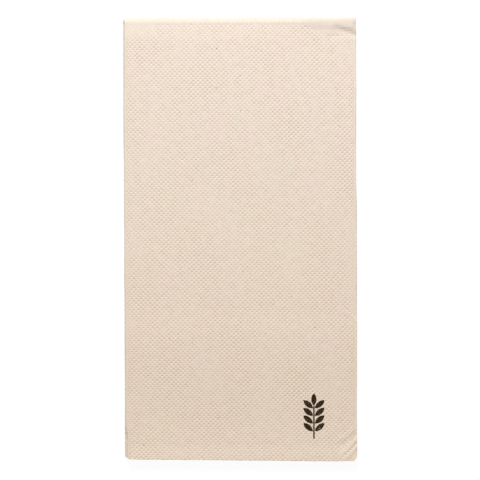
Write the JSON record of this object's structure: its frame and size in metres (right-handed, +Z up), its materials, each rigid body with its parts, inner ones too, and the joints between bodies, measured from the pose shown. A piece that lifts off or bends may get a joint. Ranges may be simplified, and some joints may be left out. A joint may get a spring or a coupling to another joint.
{
  "type": "paper napkin",
  "caption": "Folded paper napkin: an embossed tissue sheet folded lengthwise and then across into a flat oblong panel, with a small printed sprig near the open corner",
  "frame": {"origin": "under the middle of the folded panel, on the surface it lies on", "axes": "X across the panel from the side that holds the outer lengthwise fold to the side with the cut edges, Y along the panel towards the cross fold, Z up"},
  "size_m": [0.101, 0.1911, 0.0045],
  "materials": {
    "napkin_paper": "uncoated embossed tissue, unbleached beige with fine fibres and specks",
    "printed_ink": "matt dark brown ink soaked into the tissue"
  },
  "bodies": {
    "root": {"napkin": "napkin_paper", "printed_sprig": "printed_ink"}
  },
  "joints": []
}
